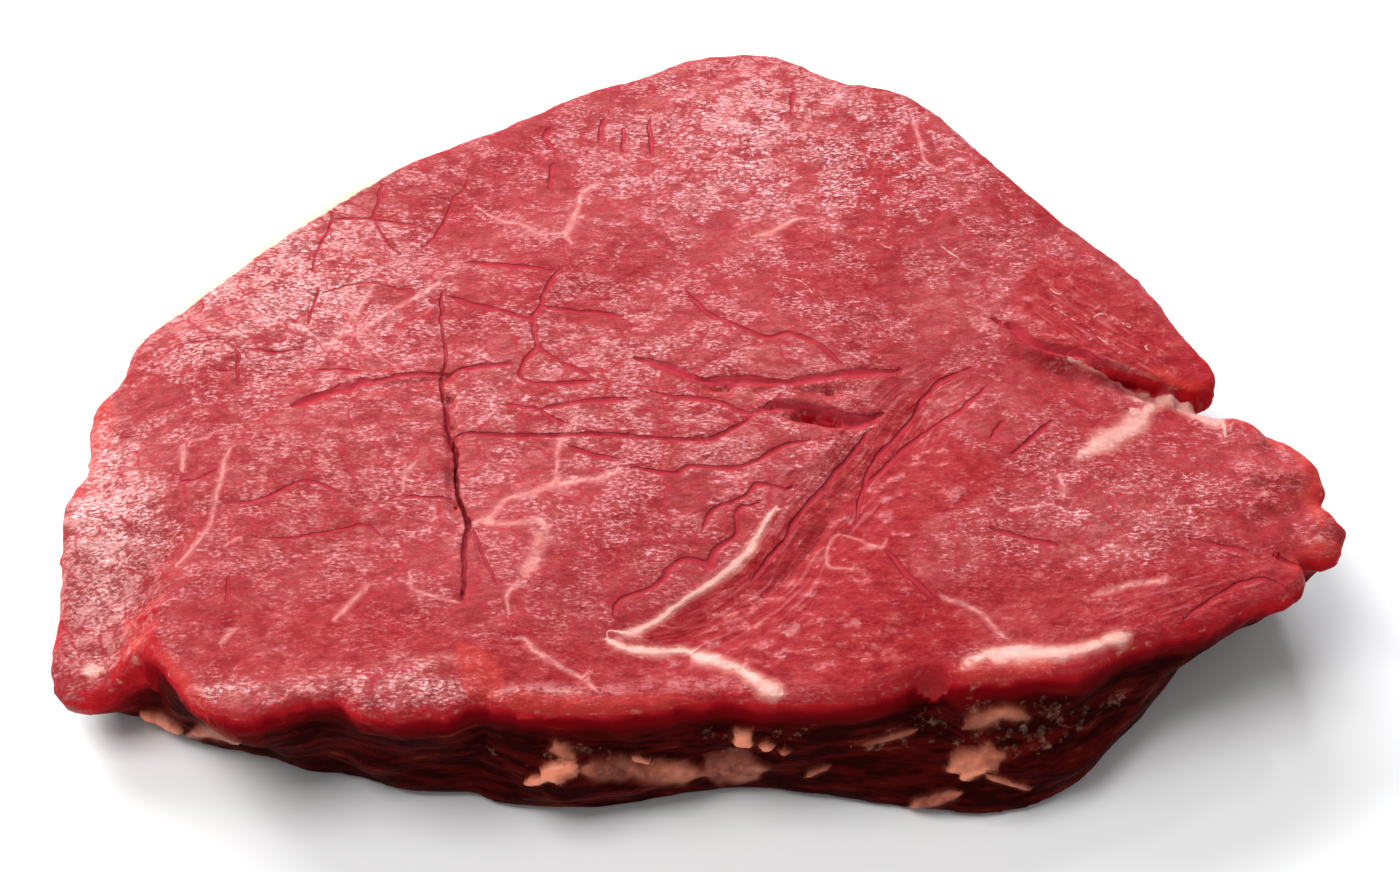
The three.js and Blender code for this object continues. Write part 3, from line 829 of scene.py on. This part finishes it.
class Shader:
    """A material's node tree, built by short calls that give back output sockets."""

    def __init__(self, name):
        self.material = bpy.data.materials.new(name)
        self.material.use_nodes = True
        self.tree = self.material.node_tree
        self.tree.nodes.clear()
        self.place = self.tree.nodes.new("ShaderNodeTexCoord").outputs["Object"]
        self.middle = self.noise(8.0, 2.0)
        self.wobble = self.less(self.noise(1.6, 3.0, 0.6), 0.5)
        self.warped = self.warp(2.4, 1.8)

    def node(self, kind, settings=None, **inputs):
        node = self.tree.nodes.new("ShaderNode" + kind)
        for name, value in (settings or {}).items():
            setattr(node, name, value)
        for name, value in inputs.items():
            key = int(name[1:]) if name[0] == "_" else name.replace("_", " ")
            self.feed(node.inputs[key], value)
        return node

    def feed(self, socket, value):
        if isinstance(value, bpy.types.NodeSocket):
            self.tree.links.new(value, socket)
        else:
            socket.default_value = value

    def finished(self, shader):
        self.node("OutputMaterial", Surface=shader.outputs[0])
        return self.material

    def stored(self, name):
        return self.node("Attribute", {"attribute_name": name}).outputs["Fac"]

    def scaled(self, sizes, moved=None):
        """Coordinates in which a length of size (mm) is one unit, for each axis."""
        scale = tuple(1 / (size * MM) for size in sizes)
        return self.node("Mapping", Vector=moved or self.place, Scale=scale).outputs[0]

    def noise(self, sizes, detail, roughness=0.5):
        sizes = sizes if isinstance(sizes, tuple) else (sizes,) * 3
        return self.node("TexNoise", Vector=self.scaled(sizes), Scale=1.0, Detail=detail,
                         Roughness=roughness).outputs["Fac"]

    def cells(self, sizes, feature, output):
        """Random cells seen from above."""
        settings = {"voronoi_dimensions": "2D", "feature": feature}
        spot = self.scaled(sizes, self.warped)
        return self.node("TexVoronoi", settings, Scale=1.0, Vector=spot).outputs[output]

    def warp(self, size, amount):
        """The place moved about by noise, both in mm."""
        colour = self.node("TexNoise", Vector=self.scaled((size,) * 3), Scale=1.0, Detail=0.0)
        centred = self.node("VectorMath", {"operation": "SUBTRACT"}, _0=colour.outputs["Color"],
                            _1=(0.5, 0.5, 0.5)).outputs[0]
        grown = self.node("VectorMath", {"operation": "SCALE"}, _0=centred, Scale=amount * MM).outputs[0]
        return self.node("VectorMath", {"operation": "ADD"}, _0=self.place, _1=grown).outputs[0]

    def calc(self, operation, first, second=0.0):
        return self.node("Math", {"operation": operation}, _0=first, _1=second).outputs[0]

    def less(self, first, second):
        return self.calc("SUBTRACT", first, second)

    def total(self, *values):
        result = values[0]
        for value in values[1:]:
            result = self.calc("ADD", result, value)
        return result

    def times(self, *values):
        result = values[0]
        for value in values[1:]:
            result = self.calc("MULTIPLY", result, value)
        return result

    def ease(self, value, low, high, start=0.0, end=1.0):
        return self.node("MapRange", {"interpolation_type": "SMOOTHSTEP"}, Value=value, From_Min=low,
                         From_Max=high, To_Min=start, To_Max=end).outputs[0]

    def blend(self, share, under, over):
        return self.node("Mix", {"data_type": "RGBA"}, _0=share, _6=under, _7=over).outputs[2]

    def line(self, name, softness):
        """A stroke stored on the mesh, drawn from 1 on its path to 0 past its half width."""
        drawn = self.ease(self.calc("ABSOLUTE", self.stored(name + "_side")), 1 - softness, 1 + softness,
                          1.0, 0.0)
        return self.times(drawn, self.stored(name + "_near"))

    def streak(self, name, ragged):
        """A stroke with torn edges: its pale surroundings, and itself."""
        away = self.calc("ABSOLUTE", self.stored(name + "_side"))
        away = self.total(away, self.times(self.wobble, ragged))
        near = self.stored(name + "_near")
        halo = self.times(self.ease(away, 0.6, 3.0, 1.0, 0.0), near)
        return halo, self.times(self.ease(away, 0.2, 1.4, 1.0, 0.0), near)


def muscle_colour(s, dry_sheen, wet):
    """Broad tints, then bundles of fibre with light ends and dark gaps. The light ends, the pale patches and
    the darker or lighter shade of each plate are partly painted sheen.

    Returns the colour, the relief in mm and how thick the film of moisture is.
    """
    calm = s.less(1.0, s.times(wet, 0.85))
    colour = s.blend(s.ease(s.noise(TINTS, 1.0), 0.35, 0.65), FLESH_RED, FLESH_PINK)
    colour = s.blend(s.times(wet, 0.8), colour, FLESH_DEEP)

    grain = s.noise(GRAIN, 4.0, 0.6)
    knobs = s.times(s.ease(grain, 0.52, 0.66), wet)
    colour = s.blend(s.times(knobs, 0.35), colour, FLESH_SALMON)
    colour = s.blend(s.times(s.ease(grain, 0.46, 0.36), wet, 0.5), colour, GAP_RED)

    # Plates between the finest cracks, some smooth and some torn, with flecks down to the single fibre.
    # Each plate is painted darker or lighter at random, partly as painted sheen of plates that tilt
    # differently, and the pale flecks are partly painted sheen
    plate = s.node("SeparateColor", Color=s.cells(PLATES, "F1", "Color")).outputs[0]
    plate = s.less(plate, 0.5)
    colour = s.blend(s.ease(plate, -0.5, 0.5, 0.0, 0.3), colour, FLESH_DEEP)
    mottle = s.noise(MOTTLE, 3.0, 0.7)
    colour = s.blend(s.times(s.ease(mottle, 0.50, 0.36), 0.45), colour, GAP_RED)
    torn = s.total(mottle, s.times(s.less(s.middle, 0.5), 0.9), s.times(plate, 0.16), s.times(dry_sheen, 0.12))
    torn = s.times(s.ease(torn, 0.42, 0.62, 0.08, 1.0), calm)
    fibre_ends = s.noise(FIBRE_ENDS, 3.0, 0.72)
    flecks = s.times(s.ease(fibre_ends, 0.50, 0.62), torn)
    colour = s.blend(s.times(flecks, s.total(0.42, s.times(dry_sheen, 0.2))), colour, FLECK_PINK)
    colour = s.blend(s.times(s.ease(fibre_ends, 0.45, 0.38), torn, 0.5), colour, GAP_RED)
    gaps = s.ease(s.calc("ABSOLUTE", s.less(mottle, 0.47)), 0.0, 0.02, 0.45, 0.0)
    colour = s.blend(s.times(gaps, calm), colour, GAP_RED)
    # Painted sheen: the pale patches are painted whitish, most on the pale fibre ends
    sheen_haze_share = s.ease(s.total(fibre_ends, s.less(mottle, 0.5)), 0.38, 0.62, 0.1, 0.75)
    colour = s.blend(s.times(s.stored("pale"), sheen_haze_share), colour, SHEEN_HAZE)
    crazing = s.ease(s.cells(PLATES, "DISTANCE_TO_EDGE", "Distance"), 0.015, 0.07, 1.0, 0.0)
    crazing = s.times(crazing, s.ease(s.middle, 0.64, 0.46, 0.0, 0.8), calm)
    colour = s.blend(crazing, colour, CRACK_RED)

    # Long fibres that show in the smooth muscle
    lengths = s.node("CombineXYZ", X=s.times(s.stored("fibre_side"), 1.2),
                     Y=s.times(s.stored("fibre_along"), 0.12))
    strands = s.node("TexNoise", Vector=lengths.outputs[0], Scale=1.0, Detail=2.0).outputs["Fac"]
    shown = s.stored("fibre_near")
    colour = s.blend(s.times(s.ease(strands, 0.52, 0.70, 0.0, 0.22), shown), colour, FLECK_PINK)
    colour = s.blend(s.times(s.ease(strands, 0.48, 0.34, 0.0, 0.4), shown), colour, GAP_RED)

    bead = s.times(s.ease(fibre_ends, 0.67, 0.73), s.total(torn, s.times(wet, 0.5)))
    relief = s.times(grain, s.total(0.45, s.times(dry_sheen, 0.3), s.times(wet, 0.1)))
    relief = s.total(relief, s.times(strands, shown, 0.2))
    film = s.ease(s.total(flecks, s.times(torn, 0.8)), 0.5, 1.6)
    film = s.total(s.times(film, s.total(s.times(dry_sheen, 1.3), 0.3)), s.times(knobs, 0.5), 0.05)
    return colour, relief, s.calc("MAXIMUM", film, bead)


def with_marks(s, colour, relief):
    """Marbling, gristle, a lip painted orange as light shining through, cracks painted darker inside as shade
    and torn edges painted pale as highlights. Returns colour, relief and where there is a crack.
    """
    halo, veins = s.streak("vein", 2.6)
    solid = s.ease(s.stored("vein_tone"), 0.3, 1.0, 0.35, 1.0)
    colour = s.blend(s.times(halo, 0.25), colour, FLECK_PINK)
    broken = s.ease(s.wobble, -0.10, 0.10, 0.15, 0.65)
    colour = s.blend(s.times(veins, solid, broken), colour, MARBLE)
    halo, seams = s.streak("seam", 1.2)
    solid = s.stored("seam_tone")
    colour = s.blend(s.times(halo, 0.5, solid), colour, MARBLE)
    colour = s.blend(s.times(seams, solid, 0.95), colour, GRISTLE)
    # Painted light: the lip is painted orange where light shines through it
    lip = s.streak("lip", 1.2)[0]
    colour = s.blend(s.times(lip, 0.3), colour, LIP_ORANGE)
    crack = s.ease(s.calc("ABSOLUTE", s.stored("crack_side")), 0.9, 1.7, 1.0, 0.0)
    crack = s.times(crack, s.stored("crack_near"))
    # Painted shade: the deep cracks are darkened inside by their darkness
    dark = s.times(s.stored("crack_tone"), s.ease(crack, 0.5, 1.0))
    colour = s.blend(s.times(crack, 0.9), colour, s.blend(dark, CRACK_RED, CRACK_SHADE))
    # Painted highlights: torn edges and wet spots are painted pale, with a little relief
    torn = s.times(s.line("lit", 0.7), s.ease(s.wobble, -0.06, 0.06))
    colour = s.blend(s.times(torn, 0.8), colour, GRISTLE)
    relief = s.times(relief, s.less(1.0, s.times(crack, 0.8)))
    return colour, s.total(relief, s.times(torn, 0.1), s.times(seams, 0.1)), crack


def skin_colour(s):
    """Dark skin with lumps of fat on the wall. Returns the colour and where there is fat."""
    streaks = s.noise(SKIN_STREAKS, 2.0, 0.65)
    skin = s.blend(s.ease(streaks, 0.40, 0.62), SKIN_DARK, SKIN_MAROON)
    skin = s.blend(s.ease(streaks, 0.64, 0.72, 0.0, 0.4), skin, FAT_BROWN)
    halo, lumps = s.streak("wall_fat", 1.2)
    skin = s.blend(s.times(halo, 0.4), skin, FAT_BROWN)
    # The fat's paleness is partly its own colour and partly painted light where a lump catches the light
    pale = s.total(s.stored("wall_fat_tone"), s.times(s.wobble, 1.0), s.times(s.less(s.middle, 0.5), 1.6))
    lumps = s.times(lumps, s.ease(pale, -0.3, 0.7, 0.5, 1.0))
    return s.blend(lumps, skin, s.blend(pale, FAT_BROWN, FAT_SALMON)), lumps


def flesh_material():
    s = Shader("raw beef")
    dry_sheen = s.stored("dry_sheen")
    wet = s.stored("wet")
    colour, relief, film = muscle_colour(s, dry_sheen, wet)

    # Painted light: the edge and the top of the wall are painted bright red where light shines through them,
    # more at the front and at the thin tips; below it the wall darkens into skin
    rim = s.total(s.stored("rim"), s.times(s.wobble, 3.0))
    thin = s.stored("thin")
    edge = s.total(0.15, s.times(s.stored("front"), 0.35), s.times(thin, 0.45))
    colour = s.blend(s.times(s.ease(rim, 0.0, 2.0, 1.0, 0.0), edge), colour, RIM_GLOW_RED)
    colour, relief, crack = with_marks(s, colour, relief)
    below = s.stored("below")
    wall = s.total(s.stored("wall"), s.times(s.wobble, 0.3))
    colour = s.blend(s.ease(wall, 0.1, 0.45, 0.0, 0.85), colour, RIM_GLOW_RED)
    colour = s.blend(s.times(s.ease(below, 0.5, 3.2), s.less(1.0, thin)), colour, EDGE_RED)
    skin, fat = skin_colour(s)
    skinned = s.times(s.ease(below, 2.2, 7.0), s.less(1.0, s.times(thin, 0.75)))
    colour = s.blend(s.calc("MAXIMUM", skinned, s.times(fat, 0.9)), colour, skin)

    # The fat strip on the rim and on the wall below it, thinner towards both ends
    cap = s.stored("cap")
    strip = s.less(s.times(cap, 2.9), s.total(s.stored("rim"), s.wobble))
    low = s.total(below, s.times(s.wobble, 8.0), s.times(s.middle, 6.0))
    sheet = s.times(s.ease(s.less(s.times(cap, 26.0), low), 0.0, 3.0), s.ease(below, 0.8, 1.6))
    veined = s.ease(s.total(s.middle, s.wobble), 0.35, 0.65, 0.0, 0.6)
    cream = s.blend(s.ease(below, 0.5, 4.0, 0.0, 0.9), FAT_CREAM, s.blend(veined, FAT_TAN, GRISTLE))
    colour = s.blend(s.calc("MAXIMUM", s.ease(strip, 0.0, 0.6), sheet), colour, cream)
    bump = s.node("Bump", Strength=1.0, Distance=MM, Height=relief).outputs[0]

    film = s.times(film, s.ease(wall, 0.3, 0.9, 1.0, 0.0), s.less(1.0, s.times(crack, 0.8)))
    film = s.calc("MAXIMUM", film, s.times(fat, 0.5))
    shader = s.node("BsdfPrincipled", Base_Color=colour, Roughness=s.ease(s.middle, 0.3, 0.7, 0.34, 0.5),
                    Normal=bump, IOR=1.4, Specular_IOR_Level=0.01, Subsurface_Weight=0.25,
                    Subsurface_Radius=(1.0, 0.2, 0.15), Subsurface_Scale=2.5 * MM, Coat_Weight=film,
                    Coat_Normal=bump, Coat_Roughness=0.12, Coat_IOR=1.5)
    return s.finished(shader)


def floor_material():
    s = Shader("pale floor")
    shader = s.node("BsdfPrincipled", Base_Color=(0.95, 0.95, 0.95, 1), Roughness=0.8)
    return s.finished(shader)


# The stage: each light's place, size, power and colour, in metres and watts
WHITE = (1, 1, 1)
LIGHTS = {
    "window behind": ((-0.04, 0.86, 0.64), (0.6, 0.22), 7.5, (0.9, 0.94, 1.0)),
    "window left": ((-0.60, 0.60, 0.55), (0.42, 0.4), 7.2, WHITE),
    "lamp right": ((0.24, 0.62, 0.75), (0.08, 0.05), 0.7, WHITE),
    "soft top": ((-0.42, 0.0, 0.95), (0.6, 0.6), 7.0, WHITE),
}
LIGHT_TARGET = Vector((0, 0, 0.02))
FLOOR_HALF = 3.0


def make_camera():
    data = bpy.data.cameras.new("camera")
    data.lens = LENS
    data.sensor_width = SENSOR
    data.clip_start = 0.01
    camera = linked("camera", data)
    camera.location = Vector(EYE)
    camera.rotation_euler = (math.pi / 2 - ELEVATION, 0, 0)
    bpy.context.scene.camera = camera


def make_light(name, place, size, power, colour):
    data = bpy.data.lights.new(name, "AREA")
    data.shape = "RECTANGLE"
    data.size, data.size_y = size
    data.energy = power
    data.color = colour
    light = linked(name, data)
    light.location = place
    light.rotation_euler = (LIGHT_TARGET - Vector(place)).to_track_quat("-Z", "Y").to_euler()


def make_world():
    world = bpy.data.worlds.new("soft surroundings")
    world.use_nodes = True
    background = world.node_tree.nodes["Background"]
    background.inputs["Color"].default_value = (1, 1, 1, 1)
    background.inputs["Strength"].default_value = 0.32
    bpy.context.scene.world = world


def make_floor():
    mesh = bpy.data.meshes.new("floor")
    corners = [(x * FLOOR_HALF, y * FLOOR_HALF, 0) for x, y in ((-1, -1), (1, -1), (1, 1), (-1, 1))]
    mesh.from_pydata(corners, [], [(0, 1, 2, 3)])
    floor = linked("floor", mesh)
    mesh.materials.append(floor_material())


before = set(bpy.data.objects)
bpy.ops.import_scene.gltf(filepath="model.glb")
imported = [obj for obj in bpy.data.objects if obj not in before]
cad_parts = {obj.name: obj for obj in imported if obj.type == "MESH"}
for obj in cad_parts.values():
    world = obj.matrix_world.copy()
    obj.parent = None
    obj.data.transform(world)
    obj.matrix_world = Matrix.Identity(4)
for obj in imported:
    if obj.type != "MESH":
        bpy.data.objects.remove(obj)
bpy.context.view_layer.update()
make_camera()
make_world()
for light_name, light in LIGHTS.items():
    make_light(light_name, *light)
make_floor()
bpy.context.scene.view_settings.view_transform = "Standard"

steak = shape_steak(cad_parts["steak"])
steak.data.materials.clear()
steak.data.materials.append(flesh_material())
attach(steak, "root")
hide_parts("steak")
